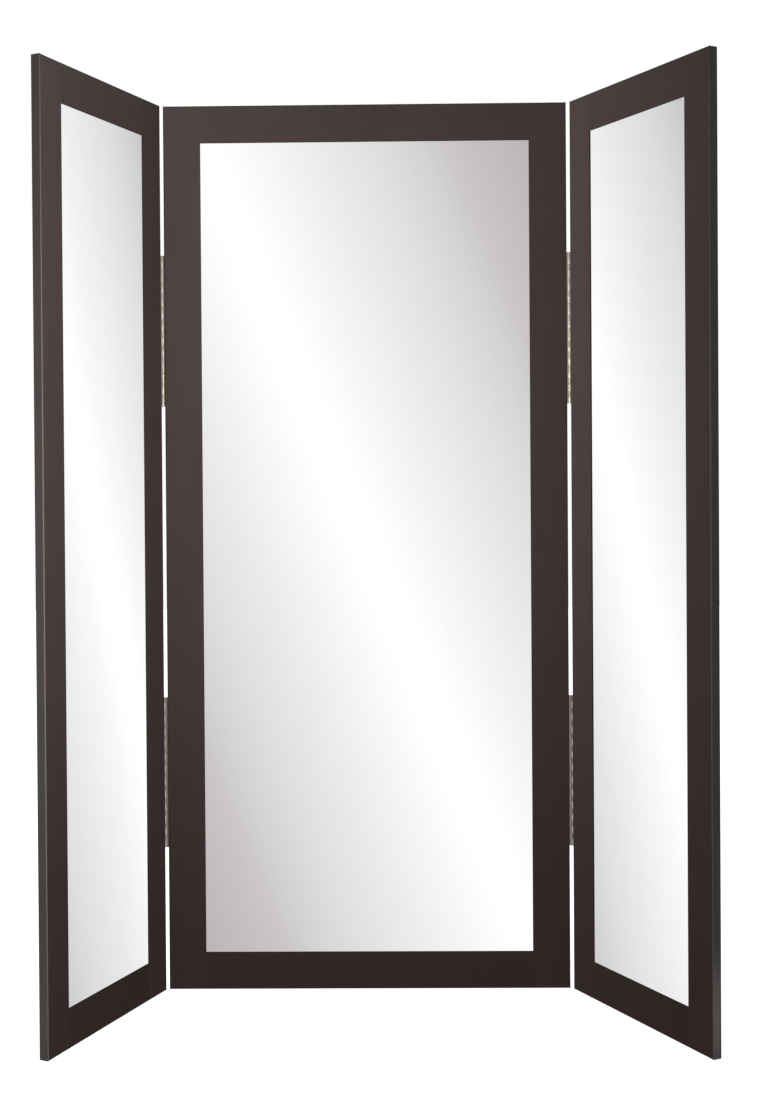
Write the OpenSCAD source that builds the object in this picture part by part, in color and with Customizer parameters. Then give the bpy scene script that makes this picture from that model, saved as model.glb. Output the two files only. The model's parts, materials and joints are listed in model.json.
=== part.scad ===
/* [Panels] */
// Height of the three panels
panel_h = 1790; // [1500:1:2000]
// Thickness of the panels, from front face to back face
panel_t = 19; // [17:0.5:28]
// Width of the centre panel
centre_w = 812.8; // [700:0.1:1000]
// Gap left between the outer edges of the two wings when both are folded flat
fold_gap = 2.8; // [1:0.1:20]
// Angle by which each wing stands forward of the flat, opened-out position
fold_angle = 64; // [0:0.5:180]

/* [Frame members] */
// Width of the centre panel's stiles
centre_stile_w = 75; // [60:0.5:110]
// Width of the centre panel's rails
centre_rail_w = 75; // [60:0.5:110]
// Width of the wings' stiles
wing_stile_w = 65; // [55:0.5:90]
// Width of the wings' rails
wing_rail_w = 73; // [60:0.5:110]
// Thickness of the front lip that holds the glass in
lip_t = 3; // [3:0.5:6]

/* [Edge bands] */
// Thickness of the banding on the outer edges
band_t = 2; // [1.8:0.1:3]
// Radius along the bands' two outer arrises
band_arris = 1.5; // [0.5:0.1:1.7]

/* [Glass and backing] */
// Thickness of the mirror glass
glass_t = 4; // [3:0.5:6]
// How far the frame's lip overlaps the glass
glass_cover = 8; // [5:0.5:10]
// Clearance round the edges of the glass and of the backing board
edge_gap = 1; // [0.5:0.1:2]
// Thickness of the backing board
backing_t = 6; // [3:0.5:7]
// How far the backing board reaches past the sight opening
backing_cover = 20; // [17:0.5:24]
// Screw line of the backing board, measured in from the board's edge
backing_screw_in = 5; // [3:0.5:6]
// Greatest distance between two backing screws
backing_screw_pitch = 240; // [120:5:400]
// How far a backing screw enters the frame
backing_screw_bite = 4; // [3:0.1:4.4]
// Diameter of a backing screw's shank
backing_screw_d = 3; // [2.5:0.1:3.5]
// Diameter of a backing screw's countersunk head
backing_screw_head = 6; // [5:0.1:6.5]

/* [Corner dowels] */
// Diameter of the dowels
dowel_d = 8; // [6:0.5:10]
// Length of the dowels
dowel_len = 40; // [24:1:60]
// Distance from the panel's end to the first dowel
dowel_inset = 16; // [12:0.5:18]
// Distance between the two dowels of a corner
dowel_pitch = 25; // [20:0.5:26]
// Chamfer on the dowels' ends
dowel_chamfer = 1; // [0.5:0.1:2]

/* [Piano hinges] */
// Knuckles of one hinge, both leaves together
knuckles = 24; // [12:1:30]
// Length of one knuckle with the gap after it
knuckle_len = 12.7; // [10:0.1:15]
// Gap between two neighbouring knuckles
knuckle_gap = 0.3; // [0.2:0.05:0.6]
// Diameter of the hinge pin
pin_d = 3; // [2.5:0.1:5]
// Radial clearance of the pin in the knuckles
pin_play = 0.06; // [0.03:0.01:0.1]
// Chamfer on the pin's ends
pin_chamfer = 0.4; // [0.2:0.1:0.8]
// Thickness of the rolled leaves
leaf_t = 1; // [0.8:0.1:2]
// How far the barrel stands proud of the leaf's outer face
barrel_lift = 0.06; // [0.04:0.01:0.2]
// Seam left where the rolled end meets its leaf
roll_gap = 0.4; // [0.2:0.1:0.8]
// Clearance between a leaf's notches and the other leaf's knuckles
notch_gap = 0.35; // [0.3:0.05:1]
// Distance from a leaf's free edge to the panel's back face
leaf_setback = 2.5; // [1.5:0.1:4]
// Distance from the panels' top to the upper hinges
hinge_from_top = 302; // [100:1:400]
// Distance from the floor to the lower hinges
hinge_from_floor = 290; // [100:1:400]

/* [Hinge screws] */
// Distance between the screws of a leaf
hinge_screw_pitch = 50.8; // [30:0.1:80]
// Length of a hinge screw
hinge_screw_len = 16; // [10:0.5:25]
// Diameter of a hinge screw's shank
hinge_screw_d = 3; // [2.5:0.1:4]
// Diameter of a hinge screw's countersunk head
hinge_screw_head = 5.6; // [4.8:0.1:7]

/* [Fits] */
// Radial clearance of screws and dowels in their holes
hole_play = 0.1; // [0.05:0.01:0.2]
// Free depth left past the end of a screw or dowel
hole_end = 1; // [0.5:0.1:1.5]

/* [Hidden] */
$fn = 48;
node = "all";
// Overshoot of a cut past the face that it opens
over = 1;
// Share of a pitch that rounding may take from a hinge without losing it a screw
pitch_slack = 0.01;

// A wing is as wide as still lets both fold over the centre panel
wing_w = (centre_w - fold_gap) / 2;

// Faces, seen across the thickness: the front face is at -panel_t / 2
front_y = -panel_t / 2;
back_y = panel_t / 2;
glass_y = front_y + lip_t;
backing_y = glass_y + glass_t;
backing_screw_len = backing_t + backing_screw_bite;

// The hinge axis stands this far from the panel's edge and in front of its face
knuckle_bore_r = pin_d / 2 + pin_play;
knuckle_r = knuckle_bore_r + leaf_t;
axis_off = knuckle_r - barrel_lift;
axis_x = centre_w / 2 + axis_off;
axis_y = front_y - axis_off;

// Hinge frame: x from the axis to the panel's edge, y from the axis to the back
leaf_in = axis_off - leaf_t;
leaf_end = panel_t + axis_off - leaf_setback;
notch_r = knuckle_r + notch_gap;
notch_y = sqrt(notch_r * notch_r - leaf_in * leaf_in);
hinge_len = knuckles * knuckle_len;
hinge_screws = floor(hinge_len / hinge_screw_pitch + pitch_slack);
first_hinge_screw = (hinge_len - (hinge_screws - 1) * hinge_screw_pitch) / 2;
hinge_z = [hinge_from_floor, panel_h - hinge_from_top - hinge_len];
hinge_screw_z = [for (i = [0:hinge_screws - 1]) first_hinge_screw + i * hinge_screw_pitch];

// Panels: name, side (0 is the centre), width, stile width, rail width
panels = [
    ["centre", 0, centre_w, centre_stile_w, centre_rail_w],
    ["left_wing", -1, wing_w, wing_stile_w, wing_rail_w],
    ["right_wing", 1, wing_w, wing_stile_w, wing_rail_w]
];
function side_of(p) = p[1];
function width_of(p) = p[2];
function stile_of(p) = p[3];
function rail_of(p) = p[4];
function sight_w(p) = width_of(p) - 2 * stile_of(p);
function sight_h(p) = panel_h - 2 * rail_of(p);

// Names of a panel's two upright sides: the inner side of a wing carries the hinges
function edge_name(p, x_side) =
    side_of(p) == 0 ? (x_side < 0 ? "left" : "right") : (x_side == side_of(p) ? "outer" : "inner");

// Sides of a panel that carry hinges
function hinged(p, x_side) = side_of(p) == 0 || x_side != side_of(p);

// Hinges: name, side, height of the lower end
hinges = [
    for (side = [-1, 1])
        for (i = [0, 1])
            [str(side < 0 ? "left" : "right", i == 0 ? "_lower" : "_upper", "_hinge"), side, hinge_z[i]]
];

member_names = ["top_rail", "bottom_rail", "top_band", "bottom_band"];
infill_names = ["dowels", "mirror", "backing_board", "backing_screws"];
hinge_part_names = ["centre_leaf", "wing_leaf", "pin", "centre_screws", "wing_screws"];
NODES = [
    for (p = panels)
        for (x_side = [-1, 1])
            for (part = ["stile", "band"])
                str(p[0], "_", edge_name(p, x_side), "_", part),
    for (p = panels)
        for (part = concat(member_names, infill_names))
            str(p[0], "_", part),
    for (h = hinges)
        for (part = hinge_part_names)
            str(h[0], "_", part)
];

espresso = [0.29, 0.245, 0.235];
edge_black = [0.2, 0.205, 0.195];
silvering = [0.86, 0.88, 0.88];
hardboard = [0.42, 0.3, 0.2];
beech = [0.78, 0.63, 0.44];
nickel = [0.78, 0.74, 0.65];
zinc = [0.68, 0.69, 0.7];

// Turns a wing's or a wing leaf's own hinge frame forward about its hinge axis
module at_axis(side, fold) {
    translate([side * axis_x, axis_y, 0])
        rotate([0, 0, -side * fold])
            children();
}

// Panel frame: middle of the width, middle of the thickness, underside
module at_panel(p) {
    if (side_of(p) == 0) children();
    else
        at_axis(side_of(p), fold_angle)
            translate([side_of(p) * (axis_off + wing_w / 2), -axis_y, 0])
                children();
}

// Heights, from the panel's middle, that spread screws evenly along one side of the opening
function spread(length) =
    let (n = ceil(length / backing_screw_pitch))
    [for (i = [0:n - 1]) (i + 0.5) * length / n - length / 2];

function backing_w(p) = sight_w(p) + 2 * backing_cover;
function backing_h(p) = sight_h(p) + 2 * backing_cover;

// Backing screw places along the two stiles and along the two rails, as x and z
function stile_screws(p, x_side) =
    [for (z = spread(sight_h(p))) [x_side * (backing_w(p) / 2 - backing_screw_in), panel_h / 2 + z]];
function rail_screws(p, z_side) =
    [for (x = spread(sight_w(p))) [x, panel_h / 2 + z_side * (backing_h(p) / 2 - backing_screw_in)]];

// Outline of a countersunk screw, head down: radius and distance along the axis
function screw_outline(length, shank_r, head_r) = [
    [0, 0],
    [head_r, 0],
    [shank_r, head_r - shank_r],
    [shank_r, length - 2 * shank_r],
    [0, length]
];

// The hole that such a screw passes and enters, open past its head
function hole_outline(length, shank_r, head_r) = [
    [0, -over],
    [head_r + hole_play, -over],
    [head_r + hole_play, 0],
    [shank_r + hole_play, head_r - shank_r],
    [shank_r + hole_play, length + hole_end],
    [0, length + hole_end]
];

// A rod along z with chamfered ends
module chamfered_rod(length, r, chamfer) {
    rotate_extrude()
        polygon([
            [0, 0],
            [r - chamfer, 0],
            [r, chamfer],
            [r, length - chamfer],
            [r - chamfer, length],
            [0, length]
        ]);
}

// Backing screws and their holes point from the board's back towards the front
module at_backing_screws(places) {
    for (place = places)
        translate([place[0], backing_y + backing_t, place[1]])
            rotate([90, 0, 0])
                children();
}

module backing_holes(places) {
    at_backing_screws(places)
        rotate_extrude()
            polygon(hole_outline(backing_screw_len, backing_screw_d / 2, backing_screw_head / 2));
}

// Hinge screws and their holes along one hinged edge, in the hinge frame of side +x
module at_hinge_screws() {
    for (z = hinge_screw_z)
        translate([leaf_in, -axis_y, z])
            rotate([0, 90, 0])
                children();
}

module hinge_holes() {
    at_hinge_screws()
        rotate_extrude()
            polygon(hole_outline(hinge_screw_len, hinge_screw_d / 2, hinge_screw_head / 2));
}

// The hinge screw holes of a panel's upright edge, in the panel frame
module edge_holes(p, x_side) {
    if (hinged(p, x_side))
        for (z = hinge_z)
            translate([x_side * (width_of(p) / 2 + axis_off), axis_y, z])
                mirror([x_side > 0 ? 1 : 0, 0, 0])
                    hinge_holes();
}

// The double rabbet: a deep pocket for the glass inside a wider one for the backing board
module rabbet(p) {
    reach = [glass_cover + edge_gap, backing_cover + edge_gap];
    floors = [glass_y, backing_y];
    for (i = [0, 1])
        translate([-sight_w(p) / 2 - reach[i], floors[i], rail_of(p) - reach[i]])
            cube([sight_w(p) + 2 * reach[i], back_y - floors[i] + over, sight_h(p) + 2 * reach[i]]);
}

module sight_opening(p) {
    translate([-sight_w(p) / 2, front_y - over, rail_of(p)])
        cube([sight_w(p), panel_t + 2 * over, sight_h(p)]);
}

// Dowel places of one corner: along x, centred on the joint of stile and rail
module at_dowels(p, x_side, z_side) {
    for (i = [0, 1])
        translate([
            x_side * (width_of(p) / 2 - stile_of(p)),
            0,
            panel_h / 2 + z_side * (panel_h / 2 - dowel_inset - i * dowel_pitch)
        ])
            rotate([0, 90, 0])
                children();
}

module dowel_holes(p, x_side, z_side) {
    depth = dowel_len + 2 * hole_end;
    at_dowels(p, x_side, z_side)
        cylinder(h = depth, r = dowel_d / 2 + hole_play, center = true);
}

// An upright member, full height between the end bands
module stile(p, x_side) {
    color(espresso)
        difference() {
            translate([x_side > 0 ? width_of(p) / 2 - stile_of(p) : band_t - width_of(p) / 2, front_y, band_t])
                cube([stile_of(p) - band_t, panel_t, panel_h - 2 * band_t]);
            rabbet(p);
            dowel_holes(p, x_side, -1);
            dowel_holes(p, x_side, 1);
            backing_holes(stile_screws(p, x_side));
            edge_holes(p, x_side);
        }
}

// A cross member, butted between the stiles
module rail(p, z_side) {
    color(espresso)
        difference() {
            translate([-sight_w(p) / 2, front_y, z_side > 0 ? panel_h - rail_of(p) : band_t])
                cube([sight_w(p), panel_t, rail_of(p) - band_t]);
            rabbet(p);
            dowel_holes(p, -1, z_side);
            dowel_holes(p, 1, z_side);
            backing_holes(rail_screws(p, z_side));
        }
}

// Section of an edge band: glued face at u = 0, rounded arrises at u = band_t
module band_section() {
    intersection() {
        translate([0, front_y]) square([band_t, panel_t]);
        union() {
            translate([0, front_y]) square([band_t - band_arris, panel_t]);
            translate([0, front_y + band_arris]) square([band_t, panel_t - 2 * band_arris]);
            for (y_side = [-1, 1])
                translate([band_t - band_arris, y_side * (panel_t / 2 - band_arris)])
                    circle(band_arris);
        }
    }
}

// A full-height band on an upright edge
module side_band(p, x_side) {
    color(edge_black)
        difference() {
            mirror([x_side > 0 ? 0 : 1, 0, 0])
                translate([width_of(p) / 2 - band_t, 0, 0])
                    linear_extrude(panel_h)
                        band_section();
            edge_holes(p, x_side);
        }
}

// A band on the top or bottom edge, between the side bands
module end_band(p, z_side) {
    length = width_of(p) - 2 * band_t;
    color(edge_black)
        translate([0, 0, z_side > 0 ? panel_h : 0])
            mirror([0, 0, z_side > 0 ? 0 : 1])
                translate([length / 2, 0, -band_t])
                    rotate([0, -90, 0])
                        linear_extrude(length)
                            band_section();
}

module dowels(p) {
    color(beech)
        for (x_side = [-1, 1])
            for (z_side = [-1, 1])
                at_dowels(p, x_side, z_side)
                    translate([0, 0, -dowel_len / 2])
                        chamfered_rod(dowel_len, dowel_d / 2, dowel_chamfer);
}

module mirror_glass(p) {
    color(silvering)
        translate([-sight_w(p) / 2 - glass_cover, glass_y, rail_of(p) - glass_cover])
            cube([sight_w(p) + 2 * glass_cover, glass_t, sight_h(p) + 2 * glass_cover]);
}

module backing_board(p) {
    color(hardboard)
        difference() {
            translate([-backing_w(p) / 2, backing_y, panel_h / 2 - backing_h(p) / 2])
                cube([backing_w(p), backing_t, backing_h(p)]);
            for (side = [-1, 1]) {
                backing_holes(stile_screws(p, side));
                backing_holes(rail_screws(p, side));
            }
        }
}

module backing_screws(p) {
    color(zinc)
        for (side = [-1, 1])
            at_backing_screws(concat(stile_screws(p, side), rail_screws(p, side)))
                rotate_extrude()
                    polygon(screw_outline(backing_screw_len, backing_screw_d / 2, backing_screw_head / 2));
}

// Section of a rolled knuckle: the leaf runs on round the pin and ends against itself
module knuckle_section() {
    difference() {
        union() {
            circle(knuckle_r);
            translate([leaf_in, 0]) square([leaf_t, notch_y + over]);
        }
        circle(knuckle_bore_r);
        translate([leaf_in - roll_gap, 0]) square([roll_gap, knuckle_r + over]);
    }
}

// A hinge leaf on side +x of its axis, with every second knuckle from the given one
module leaf(first_knuckle) {
    color(nickel)
        difference() {
            union() {
                translate([leaf_in, notch_y, 0])
                    cube([leaf_t, leaf_end - notch_y, hinge_len]);
                for (i = [first_knuckle:2:knuckles - 1])
                    translate([0, 0, i * knuckle_len + knuckle_gap / 2])
                        linear_extrude(knuckle_len - knuckle_gap)
                            knuckle_section();
            }
            hinge_holes();
        }
}

module hinge_pin() {
    color(zinc)
        chamfered_rod(hinge_len, pin_d / 2, pin_chamfer);
}

module hinge_screw_row() {
    color(nickel)
        at_hinge_screws()
            rotate_extrude()
                polygon(screw_outline(hinge_screw_len, hinge_screw_d / 2, hinge_screw_head / 2));
}

// A hinge half lies on the centre panel's side of the axis, or on the wing's side and turned with it
module at_half(h, on_wing) {
    turned = on_wing ? fold_angle : 0;
    towards = on_wing ? h[1] : -h[1];
    at_axis(h[1], turned)
        translate([0, 0, h[2]])
            mirror([towards > 0 ? 0 : 1, 0, 0])
                children();
}

function shown(name) = node == "all" || node == name;

for (p = panels) {
    for (s = [-1, 1]) {
        edge = str(p[0], "_", edge_name(p, s));
        end = str(p[0], s > 0 ? "_top" : "_bottom");
        if (shown(str(edge, "_stile"))) at_panel(p) stile(p, s);
        if (shown(str(edge, "_band"))) at_panel(p) side_band(p, s);
        if (shown(str(end, "_rail"))) at_panel(p) rail(p, s);
        if (shown(str(end, "_band"))) at_panel(p) end_band(p, s);
    }
    if (shown(str(p[0], "_dowels"))) at_panel(p) dowels(p);
    if (shown(str(p[0], "_mirror"))) at_panel(p) mirror_glass(p);
    if (shown(str(p[0], "_backing_board"))) at_panel(p) backing_board(p);
    if (shown(str(p[0], "_backing_screws"))) at_panel(p) backing_screws(p);
}
for (h = hinges) {
    if (shown(str(h[0], "_centre_leaf"))) at_half(h, false) leaf(0);
    if (shown(str(h[0], "_wing_leaf"))) at_half(h, true) leaf(1);
    if (shown(str(h[0], "_pin"))) at_half(h, false) hinge_pin();
    if (shown(str(h[0], "_centre_screws"))) at_half(h, false) hinge_screw_row();
    if (shown(str(h[0], "_wing_screws"))) at_half(h, true) hinge_screw_row();
}
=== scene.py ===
import json
from math import cos, pi, radians, sin

import bpy
import numpy as np
from mathutils import Matrix, Vector


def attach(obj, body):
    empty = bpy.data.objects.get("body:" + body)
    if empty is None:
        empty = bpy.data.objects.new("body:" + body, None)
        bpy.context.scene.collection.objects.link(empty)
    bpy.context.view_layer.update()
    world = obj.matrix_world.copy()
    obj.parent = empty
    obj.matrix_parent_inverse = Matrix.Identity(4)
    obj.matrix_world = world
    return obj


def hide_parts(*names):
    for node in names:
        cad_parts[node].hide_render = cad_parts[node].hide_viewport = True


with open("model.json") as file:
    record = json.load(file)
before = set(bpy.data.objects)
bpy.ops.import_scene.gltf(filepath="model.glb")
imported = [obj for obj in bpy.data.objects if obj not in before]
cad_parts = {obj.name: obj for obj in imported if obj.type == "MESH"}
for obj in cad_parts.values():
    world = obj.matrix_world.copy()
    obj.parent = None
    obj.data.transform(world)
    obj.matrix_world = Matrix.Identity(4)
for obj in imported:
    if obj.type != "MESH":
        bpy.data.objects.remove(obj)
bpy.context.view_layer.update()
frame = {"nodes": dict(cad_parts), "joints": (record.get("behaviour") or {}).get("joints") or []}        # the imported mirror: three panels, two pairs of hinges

scene = bpy.context.scene
scene.view_settings.view_transform = "Standard"


# Panels, read from the frame. A panel's own axes: across to the right, out of its face, up.
panelSettings = {
    "centre": {"body": "centre_panel", "joint": None, "side": 0},
    "left_wing": {"body": "left_wing", "joint": "left_wing_fold", "side": -1},
    "right_wing": {"body": "right_wing", "joint": "right_wing_fold", "side": 1},
}


def foldOf(joint):
    # a wing closes at its upper limit, half a turn from the opened-out panel
    return radians(180 - joint["range_deg"][1])


def panelAxes(name):
    side = panelSettings[name]["side"]
    joints = {joint["name"]: joint for joint in frame["joints"]}
    turn = 0 if side == 0 else foldOf(joints[panelSettings[name]["joint"]])
    across = np.array([cos(turn), side * -sin(turn), 0.0])
    out = np.array([-side * sin(turn), -cos(turn), 0.0])
    return across, out, np.array([0.0, 0.0, 1.0])


def cornersOf(node):
    mesh = frame["nodes"][node].data
    points = np.empty(len(mesh.vertices) * 3, np.float32)
    mesh.vertices.foreach_get("co", points)
    return points.reshape(-1, 3).astype(float)


def spanAlong(node, axis):
    reach = cornersOf(node) @ axis
    return reach.min(), reach.max()


def nodesNamed(start, ending=""):
    return [node for key, node in frame["nodes"].items() if key.startswith(start) and key.endswith(ending)]


def readPanel(name):
    across, out, up = panelAxes(name)
    stiles = ["left_stile", "right_stile"] if name == "centre" else ["inner_stile", "outer_stile"]
    spans = sorted(spanAlong(f"{name}_{stile}", across) for stile in stiles)
    bottomRail = spanAlong(f"{name}_bottom_rail", up)
    topRail = spanAlong(f"{name}_top_rail", up)
    return {
        "across": across,
        "out": out,
        "up": up,
        "left": spans[0][0],
        "right": spans[1][1],
        "sightLeft": spans[0][1],
        "sightRight": spans[1][0],
        "sightBottom": bottomRail[1],
        "sightTop": topRail[0],
        "face": spanAlong(f"{name}_{stiles[0]}", out)[1],
        "mirrorFace": spanAlong(f"{name}_mirror", out)[1],
        "backFace": spanAlong(f"{name}_backing_board", out)[0],
    }


panels = {name: readPanel(name) for name in panelSettings}
print("panels:", {name: round(panel["right"] - panel["left"], 4) for name, panel in panels.items()})


# Camera, from the photograph's perspective: its frame is 760 x 1095 pixels
cameraSettings = {
    "imageSize": (760, 1095),
    "focalPixels": 1440.44,
    "centrePixel": (281.73, 498.71),
    "place": (-0.13373, -2.92501, 1.02247),
    "yaw": 0.0130,
    "pitch": 0.0093,
    "roll": -0.0073,
    "sensor": 36.0,
    "clip": (0.05, 60.0),
}


def makeCamera(settings):
    turn = Matrix.Rotation(settings["roll"], 3, "Z") @ Matrix.Rotation(settings["pitch"], 3, "X")
    toCamera = Matrix(((1, 0, 0), (0, 0, -1), (0, 1, 0)))      # right, down, forward from x, z, y
    rows = turn @ toCamera @ Matrix.Rotation(-settings["yaw"], 3, "Z")
    columns = Matrix((rows[0], -rows[1], -rows[2])).transposed()
    camera = bpy.data.objects.new("camera", bpy.data.cameras.new("camera"))
    scene.collection.objects.link(camera)
    camera.matrix_world = Matrix.Translation(settings["place"]) @ columns.to_4x4()
    width, height = settings["imageSize"]
    camera.data.sensor_width = settings["sensor"]
    camera.data.lens = settings["focalPixels"] / height * settings["sensor"]
    camera.data.shift_x = (width / 2 - settings["centrePixel"][0]) / height
    camera.data.shift_y = (settings["centrePixel"][1] - height / 2) / height
    camera.data.clip_start, camera.data.clip_end = settings["clip"]
    scene.camera = camera
    return camera


camera = makeCamera(cameraSettings)
print("camera: lens", round(camera.data.lens, 2), "mm")


# Node helpers: each returns its output socket. Numbers go straight onto the sockets.
def setInput(tree, socket, value):
    if hasattr(value, "is_linked"):
        tree.links.new(value, socket)
    else:
        socket.default_value = value


def mathNode(tree, operation, first, second=0.0):
    node = tree.nodes.new("ShaderNodeMath")
    node.operation = operation
    setInput(tree, node.inputs[0], first)
    setInput(tree, node.inputs[1], second)
    return node.outputs[0]


def weightedSum(tree, values, weights):
    shares = [mathNode(tree, "MULTIPLY", value, weight) for value, weight in zip(values, weights)]
    total = shares[0]
    for share in shares[1:]:
        total = mathNode(tree, "ADD", total, share)
    return total


def dotNode(tree, vector, constant):
    node = tree.nodes.new("ShaderNodeVectorMath")
    node.operation = "DOT_PRODUCT"
    tree.links.new(vector, node.inputs[0])
    node.inputs[1].default_value = tuple(constant)
    return node.outputs["Value"]


def mixColour(tree, factor, first, second, blend="MIX"):
    node = tree.nodes.new("ShaderNodeMix")
    node.data_type = "RGBA"
    node.blend_type = blend
    setInput(tree, node.inputs[0], factor)
    setInput(tree, node.inputs[6], first)
    setInput(tree, node.inputs[7], second)
    return node.outputs[2]


def mapRange(tree, value, low, high, newLow, newHigh, smooth=False):
    node = tree.nodes.new("ShaderNodeMapRange")
    node.interpolation_type = "SMOOTHSTEP" if smooth else "LINEAR"
    setInput(tree, node.inputs["Value"], value)
    for socket, number in zip(("From Min", "From Max", "To Min", "To Max"), (low, high, newLow, newHigh)):
        node.inputs[socket].default_value = number
    return node.outputs["Result"]


def noise(tree, vector, scale, detail, roughness=0.5, distortion=0.0):
    node = tree.nodes.new("ShaderNodeTexNoise")
    tree.links.new(vector, node.inputs["Vector"])
    node.inputs["Scale"].default_value = scale
    node.inputs["Detail"].default_value = detail
    node.inputs["Roughness"].default_value = roughness
    node.inputs["Distortion"].default_value = distortion
    return node.outputs["Fac"]


# Studio: white behind the mirror, and a softly graded room that only the mirrors and metal see
studioSettings = {
    "backdrop": (1.0, 1.0, 1.0),
    "ambient": (0.62, 0.62, 0.62),
    # the bright line's start at the left edge and its fall to the right one, as shares of the height
    "mirrorLine": {"centre": (0.0, 1.0), "left_wing": (0.285, 0.465), "right_wing": (0.285, 0.475)},
    "mirrorWhite": (1.07, 1.07, 1.07, 1.0),
    "mirrorShadow": (1.07, 1.00, 1.023, 1.0),      # tint of the shaded end
    "shadowFrom": (0.805, 0.775),                  # and the shades between which it comes in
    "mirrorFall": 0.267,       # shade lost from the bright line to a full height away from it
    "farFall": (0.5, 0.75, 0.0, 0.018),            # and a little more between these distances
    "plainFrom": (1.05, 2.2),       # past these distances, so from elsewhere, the mirrors show a plain room
    "plainRoom": (-0.8, 0.8, 0.97, 0.70),          # that is paler at the floor than overhead
    "plainTilt": 0.5,          # its overhead leans this much to the panel's right
    "displayGamma": 2.2,       # shades are the picture's, so the light is this power of them
    "nearestGrazing": 0.12,    # the least share of a direction that counts as out of the face
    "roomBlend": (-0.1, 0.1),  # a direction's x or y, over which one panel's room gives way to the next
    "glossDark": (0.64, 0.77, 0.0),      # satin metal sees a room that darkens this way, right and back
    "glossRoom": (0.50, 0.12),
}


def brightLinePlane(name, settings, place):
    # A mirror's face at share s across and t down meets the bright line where t = first + slope * s. Seen in
    # the mirror from the camera, a room direction r has t - first - slope * s = (plane . r) / (out . r).
    panel = panels[name]
    first, slope = settings["mirrorLine"][name]
    width = panel["sightRight"] - panel["sightLeft"]
    height = panel["sightTop"] - panel["sightBottom"]
    depth = place @ panel["out"] - panel["mirrorFace"]
    across = place @ panel["across"] - panel["sightLeft"]
    slant = -depth / height * panel["up"] - slope * depth / width * panel["across"]
    level = (panel["sightTop"] - place @ panel["up"]) / height - first - slope * across / width
    return slant + level * panel["out"]


def mirrorShade(tree, direction, name, settings, place):
    panel = panels[name]
    facing = mathNode(tree, "MAXIMUM", dotNode(tree, direction, panel["out"]), settings["nearestGrazing"])
    slanted = dotNode(tree, direction, brightLinePlane(name, settings, place))
    away = mathNode(tree, "ABSOLUTE", mathNode(tree, "DIVIDE", slanted, facing))
    distance = mathNode(tree, "MINIMUM", away, 1.0)
    shade = mathNode(tree, "SUBTRACT", 1.0, mathNode(tree, "MULTIPLY", distance, settings["mirrorFall"]))
    shade = mathNode(tree, "SUBTRACT", shade, mapRange(tree, distance, *settings["farFall"], smooth=True))
    overhead = panel["up"] + settings["plainTilt"] * panel["across"]
    plain = mapRange(tree, dotNode(tree, direction, overhead), *settings["plainRoom"])
    past = mapRange(tree, away, *settings["plainFrom"], 0.0, 1.0, smooth=True)
    change = mathNode(tree, "MULTIPLY", past, mathNode(tree, "SUBTRACT", plain, shade))
    shade = mathNode(tree, "ADD", shade, change)
    tint = mapRange(tree, shade, *settings["shadowFrom"], 0.0, 1.0)
    colour = mixColour(tree, tint, settings["mirrorWhite"], settings["mirrorShadow"])
    return mixColour(tree, 1.0, colour, mathNode(tree, "POWER", shade, settings["displayGamma"]), "MULTIPLY")


def makeWorld(settings, place):
    # the centre panel's room is in front and the wings' behind, the left wing's to the right
    world = bpy.data.worlds.new("studio")
    scene.world = world
    world.use_nodes = True
    tree = world.node_tree
    direction = tree.nodes.new("ShaderNodeTexCoord").outputs["Generated"]
    split = tree.nodes.new("ShaderNodeSeparateXYZ")
    tree.links.new(direction, split.inputs[0])
    shades = {name: mirrorShade(tree, direction, name, settings, place) for name in panels}
    behind = mapRange(tree, split.outputs["Y"], *settings["roomBlend"], 0.0, 1.0, smooth=True)
    toRight = mapRange(tree, split.outputs["X"], *settings["roomBlend"], 0.0, 1.0, smooth=True)
    wings = mixColour(tree, toRight, shades["right_wing"], shades["left_wing"])
    room = mixColour(tree, behind, shades["centre"], wings)
    darkward = dotNode(tree, direction, settings["glossDark"])
    satinRoom = mapRange(tree, darkward, -1.0, 1.0, *settings["glossRoom"])
    rays = tree.nodes.new("ShaderNodeLightPath")
    seen = mixColour(tree, rays.outputs["Is Glossy Ray"], (*settings["ambient"], 1.0), satinRoom)
    seen = mixColour(tree, rays.outputs["Is Singular Ray"], seen, room)
    seen = mixColour(tree, rays.outputs["Is Camera Ray"], seen, (*settings["backdrop"], 1.0))
    tree.links.new(seen, tree.nodes["Background"].inputs["Color"])


makeWorld(studioSettings, np.array(cameraSettings["place"]))

floorSettings = {
    "reach": 9.0,
    "drop": 0.0004,            # below the panels' undersides
    "colour": (0.86, 0.86, 0.86, 1.0),
    "glow": 0.86,
    "glowColour": (1.0, 1.0, 1.0, 1.0),
    "roughness": 0.8,
    "specular": 0.1,
}


def makeFloor(settings):
    reach, z = settings["reach"], -settings["drop"]
    corners = [(-reach, -reach, z), (reach, -reach, z), (reach, reach, z), (-reach, reach, z)]
    mesh = bpy.data.meshes.new("floor")
    mesh.from_pydata(corners, [], [(0, 1, 2, 3)])
    floor = bpy.data.objects.new("floor", mesh)
    scene.collection.objects.link(floor)
    material = bpy.data.materials.new("studio_floor")
    material.use_nodes = True
    shader = material.node_tree.nodes["Principled BSDF"]
    shader.inputs["Base Color"].default_value = settings["colour"]
    shader.inputs["Roughness"].default_value = settings["roughness"]
    shader.inputs["Specular IOR Level"].default_value = settings["specular"]
    shader.inputs["Emission Color"].default_value = settings["glowColour"]
    shader.inputs["Emission Strength"].default_value = settings["glow"]
    mesh.materials.append(material)
    floor.visible_glossy = False
    floor.visible_diffuse = False


makeFloor(floorSettings)

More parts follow.
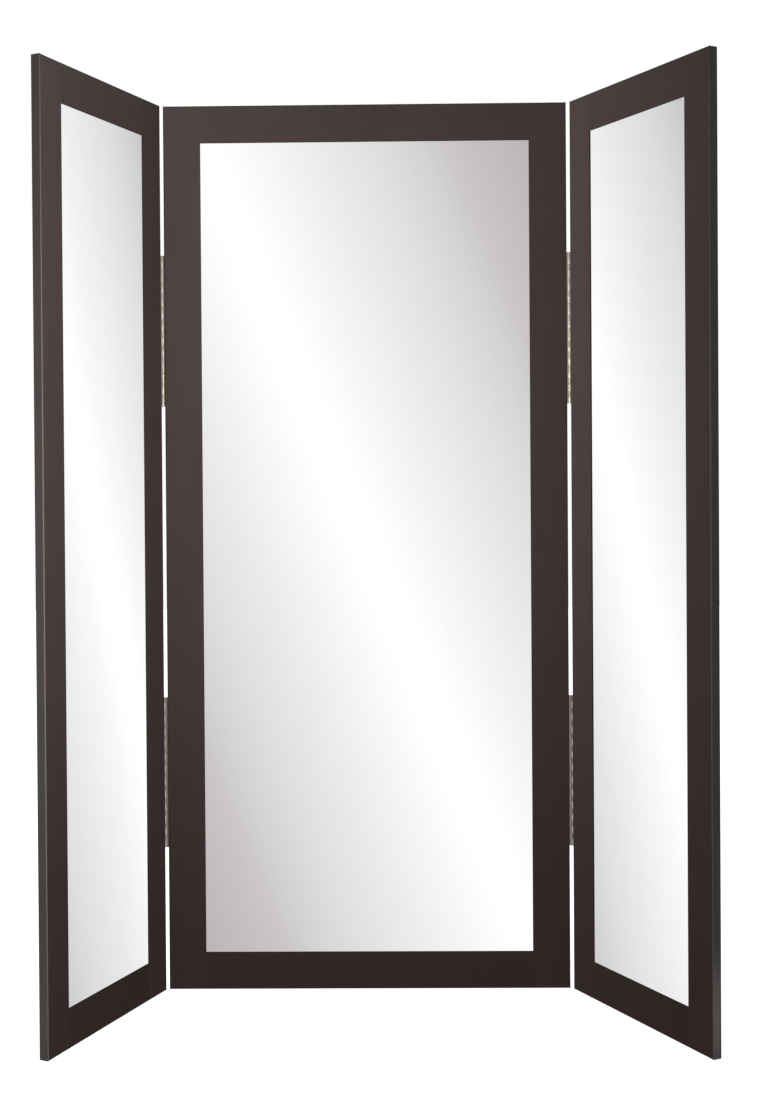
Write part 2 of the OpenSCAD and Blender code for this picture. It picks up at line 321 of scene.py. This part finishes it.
# One tall soft box per panel: it stands left of the panel's middle and lights its stiles and rails alone
softBoxSettings = {
    "centre": {"across": -0.268, "distance": 0.916, "power": 35.5},
    "left_wing": {"across": -0.589, "distance": 0.821, "power": 43.0},
    "right_wing": {"across": -0.589, "distance": 0.821, "power": 43.0},
    "height": 1.574,
    "size": (0.12, 1.895),
    "colour": (0.72, 0.907, 1.0),
}


def areaLight(name, place, facing, power, settings):
    lamp = bpy.data.lights.new(name, "AREA")
    lamp.shape = "RECTANGLE"
    lamp.size, lamp.size_y = settings["size"]
    lamp.energy = power
    lamp.color = settings["colour"]
    light = bpy.data.objects.new(name, lamp)
    scene.collection.objects.link(light)
    turn = Vector(facing).to_track_quat("-Z", "Y").to_matrix().to_4x4()
    light.matrix_world = Matrix.Translation(place) @ turn
    light.visible_camera = False
    light.visible_glossy = False
    return light


def litOnly(light, objects):
    # the light reaches these objects alone, and only they shade each other from it
    lit = bpy.data.collections.new(light.name + "_lit")
    for item in objects:
        lit.objects.link(item)
    light.light_linking.receiver_collection = lit
    light.light_linking.blocker_collection = lit


def placeBy(panel, across, out, up):
    return across * panel["across"] + out * panel["out"] + up * panel["up"]


def makeSoftBox(label, name, settings, nodes):
    panel, own = panels[name], settings[name]
    across = (panel["left"] + panel["right"]) / 2 + own["across"]
    place = placeBy(panel, across, panel["face"] + own["distance"], settings["height"])
    light = areaLight(f"{name}_{label}", place, -panel["out"], own["power"], settings)
    litOnly(light, nodes)


for panelName in panels:
    members = nodesNamed(panelName, "stile") + nodesNamed(panelName, "rail")
    makeSoftBox("soft_box", panelName, softBoxSettings, members)

# The wings' outer bands have boxes of their own, that draw a light line along the front arris.
# The left one stands just beyond the edge, and so grazes the edge's face as well.
edgeBoxSettings = {
    "left_wing": {"across": -0.363, "distance": 0.90, "power": 57.0},
    "right_wing": {"across": 0.10, "distance": 0.90, "power": 12.5},
    "height": 0.98,
    "size": (0.20, 1.25),
    "colour": (1.0, 0.76, 0.79),
}

for panelName in ("left_wing", "right_wing"):
    makeSoftBox("edge_box", panelName, edgeBoxSettings, nodesNamed(panelName, "outer_band"))

# A small low box beside each outer band stands for light from the floor, and lifts the edge's lowest part
bounceSettings = {
    "power": {"left_wing": 0.013, "right_wing": 0.053},
    "distance": 0.06,
    "height": 0.08,
    "size": (0.03, 0.14),
    "colour": (1.0, 0.845, 0.865),
}


def makeBounce(name, settings):
    panel, side = panels[name], panelSettings[name]["side"]
    across = panel["right" if side > 0 else "left"] + side * settings["distance"]
    out = (panel["face"] + panel["backFace"]) / 2
    place = placeBy(panel, across, out, settings["height"])
    light = areaLight(f"{name}_bounce", place, -side * panel["across"], settings["power"][name], settings)
    litOnly(light, nodesNamed(name, "outer_band"))


for panelName in bounceSettings["power"]:
    makeBounce(panelName, bounceSettings)

# A strip before each upper hinge draws the bright line on its knuckles
stripSettings = {
    "left": {"across": -0.12, "power": 1.7},
    "right": {"across": 0.42, "power": 2.9},
    "distance": 0.9,
    "size": (0.07, 0.45),
    "colour": (1.0, 0.97, 0.93),
}


def makeStrip(side, settings):
    centre, own = panels["centre"], settings[side]
    leaf = cornersOf(f"{side}_upper_hinge_centre_leaf")
    middle = (leaf.min(axis=0) + leaf.max(axis=0)) / 2
    place = middle + settings["distance"] * centre["out"] + own["across"] * centre["across"]
    light = areaLight(f"{side}_strip", place, middle - place, own["power"], settings)
    light.visible_glossy = True
    litOnly(light, nodesNamed(f"{side}_upper_hinge"))


for side in ("left", "right"):
    makeStrip(side, stripSettings)

# A wide box behind the mirror fills in its back, and one in front the boards of wings that are closed
fillSettings = {
    "back": {"distance": -2.6, "power": 60.0},
    "front": {"distance": 2.6, "power": 45.0},
    "height": 1.3,
    "size": (3.0, 2.2),
    "colour": (1.0, 1.0, 1.0),
}


def makeFill(side, settings, nodes):
    centre, own = panels["centre"], settings[side]
    facing = -own["distance"] * centre["out"]
    place = settings["height"] * centre["up"] - facing
    light = areaLight(f"{side}_fill", place, facing, own["power"], settings)
    light.visible_glossy = True
    litOnly(light, nodes)
    return light


unsilvered = [node for key, node in frame["nodes"].items() if not key.endswith("_mirror")]
fills = [
    makeFill("back", fillSettings, unsilvered),
    makeFill("front", fillSettings, nodesNamed("", "backing_board")),
]
print("studio: world, floor and", len(bpy.data.lights), "area lights")


# Materials. The numbers of a noise are its scale, detail, roughness and distortion.
noiseReach = (0.3, 0.7)        # nearly all of a noise's values lie between these


def newMaterial(name):
    material = bpy.data.materials.new(name)
    material.use_nodes = True
    tree = material.node_tree
    return material, tree, tree.nodes["Principled BSDF"]


def objectVector(tree, turn=0.0, stretch=(1.0, 1.0, 1.0)):
    # turn is undone about z first, so that the stretch follows a panel's own axes
    coordinates = tree.nodes.new("ShaderNodeTexCoord")
    turned = tree.nodes.new("ShaderNodeMapping")
    turned.vector_type = "POINT"
    turned.inputs["Rotation"].default_value = (0.0, 0.0, turn)
    tree.links.new(coordinates.outputs["Object"], turned.inputs["Vector"])
    stretched = tree.nodes.new("ShaderNodeMapping")
    stretched.inputs["Scale"].default_value = stretch
    tree.links.new(turned.outputs["Vector"], stretched.inputs["Vector"])
    return stretched.outputs["Vector"]


def addRoughness(tree, shader, grain, roughness):
    tree.links.new(mapRange(tree, grain, *noiseReach, *roughness), shader.inputs["Roughness"])


def addBump(tree, shader, height, distance):
    bump = tree.nodes.new("ShaderNodeBump")
    bump.inputs["Distance"].default_value = distance
    tree.links.new(height, bump.inputs["Height"])
    tree.links.new(bump.outputs["Normal"], shader.inputs["Normal"])


espressoSettings = {
    "light": (0.0335, 0.0202, 0.0186, 1.0),
    "dark": (0.0285, 0.0172, 0.0158, 1.0),
    "pore": (0.0225, 0.0132, 0.0120, 1.0),
    "grain": (260.0, 4.0, 0.55, 0.4),
    "grainLength": 0.045,      # across the grain 1, along it this
    "cloud": (5.0, 2.0),
    "shares": (0.6, 0.4),      # of grain and cloud in the shade
    "contrast": (0.3, 0.7),    # the shades that are quite dark and quite light
    "pores": (1500.0, 2.0, 0.6),
    "poreFrom": (0.60, 0.72),
    "roughness": (0.50, 0.62),
    "specular": 0.02,
    "bump": 0.00003,
    "paintedShading": {                 # painted light and shade: how much lighter or darker each member is made at its left or lower end, middle and other end
        "centre_left_stile": (1.10, 1.05, 1.05),
        "centre_right_stile": (1.10, 1.20, 1.05),
        "centre_top_rail": (1.0, 0.85, 1.0),
        "centre_bottom_rail": (1.0, 1.0, 1.0),
        "left_wing_outer_stile": (1.10, 1.10, 1.05),
        "left_wing_inner_stile": (1.30, 1.25, 1.05),
        "left_wing_top_rail": (0.95, 1.05, 1.15),
        "left_wing_bottom_rail": (1.0, 1.05, 1.10),
        "right_wing_inner_stile": (1.15, 1.10, 1.05),
        "right_wing_outer_stile": (1.10, 1.15, 1.05),
        "right_wing_top_rail": (1.0, 1.05, 1.10),
        "right_wing_bottom_rail": (1.05, 1.05, 1.0),
    },
}


def paintedShadingAlong(tree, place, reach, paintedShading):
    # the painted light and shade goes evenly from one end to the middle, and from there to the other end
    low, high = reach
    middle = (low + high) / 2
    first = mapRange(tree, place, low, middle, paintedShading[0], paintedShading[1])
    return mathNode(tree, "MULTIPLY", first, mapRange(tree, place, middle, high, 1.0, paintedShading[2] / paintedShading[1]))


def espressoMaterial(name, turn, grainAxis, reach, settings):
    material, tree, shader = newMaterial("espresso_" + name)
    stretch = [1.0, 1.0, 1.0]
    stretch[grainAxis] = settings["grainLength"]
    even = objectVector(tree, turn)
    along = objectVector(tree, turn, stretch)
    grain = noise(tree, along, *settings["grain"])
    cloud = noise(tree, even, *settings["cloud"])
    shade = weightedSum(tree, (grain, cloud), settings["shares"])
    shade = mapRange(tree, shade, *settings["contrast"], 0.0, 1.0)
    colour = mixColour(tree, shade, settings["dark"], settings["light"])
    pores = noise(tree, along, *settings["pores"])
    openPores = mapRange(tree, pores, *settings["poreFrom"], 0.0, 1.0, smooth=True)
    colour = mixColour(tree, openPores, colour, settings["pore"])
    split = tree.nodes.new("ShaderNodeSeparateXYZ")
    tree.links.new(even, split.inputs[0])
    # painted light and shade along the member multiplies the grain's colour
    paintedShadingFactor = paintedShadingAlong(tree, split.outputs[grainAxis], reach, settings["paintedShading"][name])
    colour = mixColour(tree, 1.0, colour, paintedShadingFactor, "MULTIPLY")
    tree.links.new(colour, shader.inputs["Base Color"])
    addRoughness(tree, shader, pores, settings["roughness"])
    shader.inputs["Specular IOR Level"].default_value = settings["specular"]
    addBump(tree, shader, mathNode(tree, "ADD", grain, pores), settings["bump"])
    return material


bandSettings = {
    "light": (0.053, 0.054, 0.050, 1.0),
    "dark": (0.045, 0.046, 0.0425, 1.0),
    "pebble": (1500.0, 2.0),
    "cloud": (9.0, 3.0),
    "roughness": (0.46, 0.58),
    "specular": 0.08,
    "bump": 0.00002,
}


def bandMaterial(name, settings):
    material, tree, shader = newMaterial(name)
    vector = objectVector(tree)
    pebble = noise(tree, vector, *settings["pebble"])
    cloud = noise(tree, vector, *settings["cloud"])
    tree.links.new(mixColour(tree, cloud, settings["dark"], settings["light"]), shader.inputs["Base Color"])
    addRoughness(tree, shader, pebble, settings["roughness"])
    shader.inputs["Specular IOR Level"].default_value = settings["specular"]
    addBump(tree, shader, pebble, settings["bump"])
    return material


mirrorSettings = {
    "clear": (0.967, 0.967, 0.967, 1.0),
    "hazy": (0.955, 0.955, 0.955, 1.0),
    "wipe": (14.0, 5.0, 0.6, 1.2),
    "wipeTurn": 0.6,
    "wipeStretch": (1.0, 1.0, 0.35),
    "hazeFrom": (0.45, 0.75),
}


def mirrorMaterial(name, settings):
    # quite smooth: the room tells its sharp reflection from the satin metal's blurred one
    material, tree, shader = newMaterial(name)
    vector = objectVector(tree, settings["wipeTurn"], settings["wipeStretch"])
    wipe = noise(tree, vector, *settings["wipe"])
    haze = mapRange(tree, wipe, *settings["hazeFrom"], 0.0, 1.0)
    tree.links.new(mixColour(tree, haze, settings["clear"], settings["hazy"]), shader.inputs["Base Color"])
    shader.inputs["Roughness"].default_value = 0.0
    shader.inputs["Metallic"].default_value = 1.0
    return material


hardboardSettings = {
    "light": (0.19, 0.115, 0.062, 1.0),
    "dark": (0.105, 0.058, 0.030, 1.0),
    "fibres": (700.0, 5.0, 0.7, 2.5),
    "flecks": (120.0, 4.0, 0.6, 1.0),
    "cloud": (4.0, 3.0),
    "shares": (0.5, 0.3, 0.2),      # of fibres, flecks and cloud in the shade
    "contrast": (0.35, 0.65),
    "roughness": (0.68, 0.86),
    "specular": 0.2,
    "bump": 0.00012,
}


def hardboardMaterial(name, settings):
    material, tree, shader = newMaterial(name)
    vector = objectVector(tree)
    fibres = noise(tree, vector, *settings["fibres"])
    flecks = noise(tree, vector, *settings["flecks"])
    cloud = noise(tree, vector, *settings["cloud"])
    shade = weightedSum(tree, (fibres, flecks, cloud), settings["shares"])
    shade = mapRange(tree, shade, *settings["contrast"], 0.0, 1.0)
    tree.links.new(mixColour(tree, shade, settings["dark"], settings["light"]), shader.inputs["Base Color"])
    addRoughness(tree, shader, fibres, settings["roughness"])
    shader.inputs["Specular IOR Level"].default_value = settings["specular"]
    addBump(tree, shader, fibres, settings["bump"])
    return material


dowelSettings = {
    "light": (0.60, 0.42, 0.24, 1.0),
    "dark": (0.47, 0.31, 0.165, 1.0),
    "grain": (900.0, 3.0, 0.6),
    "grainStretch": (0.06, 1.0, 1.0),
    "roughness": 0.6,
    "bump": 0.00008,
}


def dowelMaterial(name, settings):
    material, tree, shader = newMaterial(name)
    grain = noise(tree, objectVector(tree, 0.0, settings["grainStretch"]), *settings["grain"])
    tree.links.new(mixColour(tree, grain, settings["dark"], settings["light"]), shader.inputs["Base Color"])
    shader.inputs["Roughness"].default_value = settings["roughness"]
    addBump(tree, shader, grain, settings["bump"])
    return material


metalSettings = {
    "brush": (2600.0, 3.0, 0.6),
    "tarnish": (90.0, 4.0, 0.6, 0.8),
    "shares": (0.4, 0.6),      # of brush and tarnish in the shade
    "contrast": (0.35, 0.65),
    "recessLight": 0.12,       # of the dark colour, at the bottom of a screw's cross
    "bump": 0.00002,
    "finishes": {              # a brushed one has its scratches stretched along z
        "hinge_nickel": {
            "light": (0.84, 0.745, 0.645, 1.0),
            "dark": (0.70, 0.61, 0.515, 1.0),
            "stretch": (1.0, 1.0, 0.03),
            "roughness": (0.24, 0.36),
        },
        # painted shade: a darker copy of the hinge nickel for the upper hinges' wing leaves, so that
        # alternate knuckles look lighter and darker
        "wing_leaf": {
            "light": (0.70, 0.61, 0.525, 1.0),
            "dark": (0.56, 0.48, 0.405, 1.0),
            "stretch": (1.0, 1.0, 0.03),
            "roughness": (0.32, 0.44),
        },
        # painted shade: the lower hinges' darker copy of the hinge nickel
        "shaded_low_leaf": {
            "light": (0.54, 0.455, 0.375, 1.0),
            "dark": (0.445, 0.366, 0.295, 1.0),
            "stretch": (1.0, 1.0, 0.03),
            "roughness": (0.28, 0.40),
        },
        "screw_nickel": {
            "light": (0.80, 0.74, 0.66, 1.0),
            "dark": (0.62, 0.56, 0.49, 1.0),
            "stretch": (1.0, 1.0, 1.0),
            "roughness": (0.22, 0.40),
        },
        "screw_steel": {
            "light": (0.72, 0.73, 0.74, 1.0),
            "dark": (0.52, 0.53, 0.55, 1.0),
            "stretch": (1.0, 1.0, 1.0),
            "roughness": (0.26, 0.45),
        },
    },
}


def metalMaterial(name, finish, settings):
    # a screw's own "recess" attribute, 1 at the bottom of its cross, darkens what light hardly reaches
    material, tree, shader = newMaterial(name)
    brush = noise(tree, objectVector(tree, 0.0, finish["stretch"]), *settings["brush"])
    tarnish = noise(tree, objectVector(tree), *settings["tarnish"])
    shade = weightedSum(tree, (brush, tarnish), settings["shares"])
    shade = mapRange(tree, shade, *settings["contrast"], 0.0, 1.0)
    colour = mixColour(tree, shade, finish["dark"], finish["light"])
    recess = tree.nodes.new("ShaderNodeAttribute")
    recess.attribute_name = "recess"
    unlit = [settings["recessLight"] * value for value in finish["dark"][:3]] + [1.0]
    colour = mixColour(tree, recess.outputs["Fac"], colour, unlit)
    tree.links.new(colour, shader.inputs["Base Color"])
    low, high = finish["roughness"]
    tree.links.new(mapRange(tree, shade, 0.0, 1.0, high, low), shader.inputs["Roughness"])
    shader.inputs["Metallic"].default_value = 1.0
    addBump(tree, shader, brush, settings["bump"])
    return material


def dressNode(node, material):
    node.data.materials.clear()
    node.data.materials.append(material)


def turnOf(name):
    across = panels[name]["across"]
    return -float(np.arctan2(across[1], across[0]))


# Grain runs up a stile and across a rail, and each member gets painted light and shade of its own along its
# length
for panelName, panel in panels.items():
    for ending, grainAxis, axisName in (("stile", 2, "up"), ("rail", 0, "across")):
        for node in nodesNamed(panelName, ending):
            reach = spanAlong(node.name, panel[axisName])
            material = espressoMaterial(node.name, turnOf(panelName), grainAxis, reach, espressoSettings)
            dressNode(node, material)

slotMaterials = {
    "edge_band": bandMaterial("edge_band_finish", bandSettings),
    "mirror_glass": mirrorMaterial("mirror_finish", mirrorSettings),
    "hardboard": hardboardMaterial("hardboard_finish", hardboardSettings),
    "dowel_wood": dowelMaterial("dowel_finish", dowelSettings),
}
for finishName, finish in metalSettings["finishes"].items():
    slotMaterials[finishName] = metalMaterial(finishName + "_finish", finish, metalSettings)


def finishOf(key, node):
    # painted shade: the lower hinges get a darker and a little rougher copy of the nickel, standing in for
    # the light's fall towards the floor, and there both leaves look the same
    if key.endswith("_leaf") and "_lower_" in key:
        return "shaded_low_leaf"
    # painted shade: on the upper hinges the wing's leaf takes its darker copy of the nickel
    if key.endswith("_wing_leaf"):
        return "wing_leaf"
    return node.data.materials[0].name.split(".")[0]


for key, node in frame["nodes"].items():
    finishName = finishOf(key, node)
    if finishName in slotMaterials:
        dressNode(node, slotMaterials[finishName])
print("materials:", len(bpy.data.materials))

# Eased edges: the panels' members get the small chamfer that shows their joints
easeSettings = {
    "weld": 0.00001,
    "width": {"stile": 0.0004, "rail": 0.0004, "band": 0.0003},
    "segments": 2,
    "angle": 50.0,
}


def easeEdges(node, width, settings):
    weld = node.modifiers.new("weld", "WELD")
    weld.merge_threshold = settings["weld"]
    bevel = node.modifiers.new("ease", "BEVEL")
    bevel.width = width
    bevel.segments = settings["segments"]
    bevel.limit_method = "ANGLE"
    bevel.angle_limit = radians(settings["angle"])
    bevel.use_clamp_overlap = True
    bevel.harden_normals = True


for ending, width in easeSettings["width"].items():
    for node in nodesNamed("", ending):
        easeEdges(node, width, easeSettings)
print("eased edges:", sum(len(node.modifiers) > 0 for node in frame["nodes"].values()), "members")

# Screws with a cross recess stand for the plain ones. Their lengths are shares of the head's radius.
screwSettings = {
    "armWidth": 0.15,          # half the width of the recess's arms
    "draft": 0.022,            # from the foot of an arm's wall to its top
    "draftAngle": 0.06,        # and no more radians than this, seen from the axis
    "cornerAngle": 38.0,       # degrees of the walls near the axis, where the arms meet
    "radii": (0.10, 0.24, 0.256, 0.45, 0.60, 0.635, 0.93, 0.965),
    "armDepths": (0.50, 0.47, 0.46, 0.33, 0.17, 0.0, 0.0, 0.035),
    "landDepths": (0.50, 0.47, 0.0, 0.0, 0.0, 0.0, 0.0, 0.035),
    "evenRings": 2,            # the last rings of the head have evenly spread columns
    "recessRings": 6,          # the first rings lie in the cross
    "tip": 2.0,                # the tip's length, in radii of the shank
    "sharp": 32.0,
    "seed": 5,
}

# What tells the plain heads' corners apart, in metres
headTolerances = {
    "flat": 0.00001,           # the rims are this close to one plane
    "spread": 0.015,           # and the corners of one rim to each other
    "edge": 0.00005,           # the cones' ends lie deeper than this
}


def headsOf(node, outward, up, tolerances):
    # The flat heads lie in the node's outermost plane, and their cones narrow as fast as they deepen.
    # Returns the heads' middles, their radius, the shank's radius and the screw's length.
    points = cornersOf(node)
    outermost = (points @ outward).max()
    depths = outermost - points @ outward
    side = np.cross(up, outward)
    rim = points[depths < tolerances["flat"]]
    flat = np.column_stack((rim @ side, rim @ up))
    middles, radius = [], 0.0
    while len(flat):
        near = np.abs(flat - flat[0]).max(axis=1) < tolerances["spread"]
        low, high = flat[near].min(axis=0), flat[near].max(axis=0)
        middles.append((low + high) / 2)
        radius = float((high - low).max() / 2)
        flat = flat[~near]
    middles = np.array(middles)
    places = middles[:, :1] * side + middles[:, 1:] * up + outermost * outward
    coneDepth = float(depths[depths > tolerances["edge"]].min())
    return places, radius, radius - coneDepth, float(depths.max())


def recessAngles(settings):
    # A ring's columns, the same in each quarter: the middle of an arm, its wall, the land beside it, the
    # middle of the land, and back. A wall's angle is arcsin(arm width / ring radius), and that of the land
    # a little more. The rings near the rim are even.
    radii = np.array(settings["radii"])
    walls = np.arcsin(np.minimum(settings["armWidth"] / radii, sin(radians(settings["cornerAngle"]))))
    drafted = np.minimum((settings["armWidth"] + settings["draft"]) / radii, 1)
    lands = np.minimum(np.arcsin(drafted), walls + settings["draftAngle"])
    walls[-settings["evenRings"]:] = pi / 12
    lands[-settings["evenRings"]:] = pi / 6
    zero = np.zeros_like(radii)
    quarter = np.stack((zero, walls, lands, zero + pi / 4, pi / 2 - lands, pi / 2 - walls), axis=1)
    return (quarter[:, None, :] + np.arange(4)[None, :, None] * pi / 2).reshape(len(radii), -1)


def gridFaces(ringCount, columnCount):
    # Quads between neighbouring rings, and a fan from the first and last ring to its pole
    column = np.arange(columnCount)
    following = (column + 1) % columnCount
    start = np.arange(ringCount - 1)[:, None] * columnCount
    here, beside = start + column, start + following
    quads = np.stack((here, here + columnCount, beside + columnCount, beside), axis=2)
    firstPole, lastPole = ringCount * columnCount, ringCount * columnCount + 1
    last = (ringCount - 1) * columnCount
    firstFan = np.stack((np.full(columnCount, firstPole), column, following), axis=1)
    lastFan = np.stack((np.full(columnCount, lastPole), last + following, last + column), axis=1)
    return quads.reshape(-1, 4), np.vstack((firstFan, lastFan))


def screwGrid(settings, headRadius, shankRadius, length):
    # Rings round the screw's axis, each point at (radius cos angle, radius sin angle, depth): the head's,
    # with the depth of an arm or a land, then the cone's end and the shank's. The poles are the middle of
    # the recess and the tip.
    headAngles = recessAngles(settings)
    columns = headAngles.shape[1]
    even = np.arange(columns) * 2 * pi / columns
    angles = np.vstack((headAngles, even, even))
    radii = np.append(np.array(settings["radii"]) * headRadius, (shankRadius, shankRadius))[:, None]
    armDepths = np.array(settings["armDepths"])[:, None] * headRadius
    landDepths = np.array(settings["landDepths"])[:, None] * headRadius
    isArm = np.tile([True, True, False, False, False, True], 4)
    coneEnd, shankEnd = headRadius - shankRadius, length - settings["tip"] * shankRadius
    lowerDepths = np.full(columns, coneEnd), np.full(columns, shankEnd)
    depths = np.vstack((np.where(isArm, armDepths, landDepths), *lowerDepths))
    rings = np.stack((radii * np.cos(angles), radii * np.sin(angles), depths), axis=2)
    deepest = settings["armDepths"][0] * headRadius
    poles = (0.0, 0.0, deepest), (0.0, 0.0, length)
    recess = depths / deepest
    recess[settings["recessRings"]:] = 0
    recess = np.append(recess.ravel(), (1.0, 0.0))
    return np.vstack((rings.reshape(-1, 3), poles)), recess, gridFaces(len(rings), columns)


def makeScrews(name, node, body, slot, outward, settings, seed):
    # One screw, turned by its own random angle at each head's place: x and y in the head's plane, z inwards
    up = panels["centre"]["up"]
    places, headRadius, shankRadius, length = headsOf(node, outward, up, headTolerances)
    points, recess, (quads, fans) = screwGrid(settings, headRadius, shankRadius, length)
    turn = np.random.default_rng(settings["seed"] + seed).uniform(0, pi / 2, len(places))[:, None]
    x = points[:, 0] * np.cos(turn) - points[:, 1] * np.sin(turn)
    y = points[:, 0] * np.sin(turn) + points[:, 1] * np.cos(turn)
    side = np.cross(outward, up)
    offsets = x[..., None] * side - points[None, :, 2:] * outward + y[..., None] * up
    vertices = (places[:, None, :] + offsets).reshape(-1, 3)
    shift = (np.arange(len(places)) * len(points))[:, None, None]
    faces = (quads[None] + shift).reshape(-1, 4).tolist() + (fans[None] + shift).reshape(-1, 3).tolist()
    mesh = bpy.data.meshes.new(name)
    mesh.from_pydata(vertices.tolist(), [], faces)
    mesh.update()
    mesh.attributes.new("recess", "FLOAT", "POINT").data.foreach_set("value", np.tile(recess, len(places)))
    mesh.shade_smooth()
    mesh.set_sharp_from_angle(angle=radians(settings["sharp"]))
    mesh.materials.append(slotMaterials[slot])
    screws = bpy.data.objects.new(name, mesh)
    scene.collection.objects.link(screws)
    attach(screws, body)
    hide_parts(node)
    return screws


screwRows = [(f"{name}_backing_screws", settings["body"], "screw_steel", -panels[name]["out"])
             for name, settings in panelSettings.items()]
for name, settings in panelSettings.items():
    if settings["side"] == 0:
        continue
    sideName = name.split("_")[0]
    outwardCentre = settings["side"] * panels["centre"]["across"]
    outwardWing = -settings["side"] * panels[name]["across"]
    for level in ("lower", "upper"):
        hinge = f"{sideName}_{level}_hinge"
        screwRows.append((f"{hinge}_centre_screws", "centre_panel", "screw_nickel", outwardCentre))
        screwRows.append((f"{hinge}_wing_screws", settings["body"], "screw_nickel", outwardWing))
for seed, (node, body, slot, outward) in enumerate(screwRows):
    screws = makeScrews(node + "_crossed", node, body, slot, outward, screwSettings, seed)
    screws.visible_glossy = False
    for light in fills:
        light.light_linking.receiver_collection.objects.link(screws)
print("screws:", len(screwRows), "rows")

# The mirrors show the graded room alone, as in the photograph
for node in frame["nodes"].values():
    node.visible_glossy = False
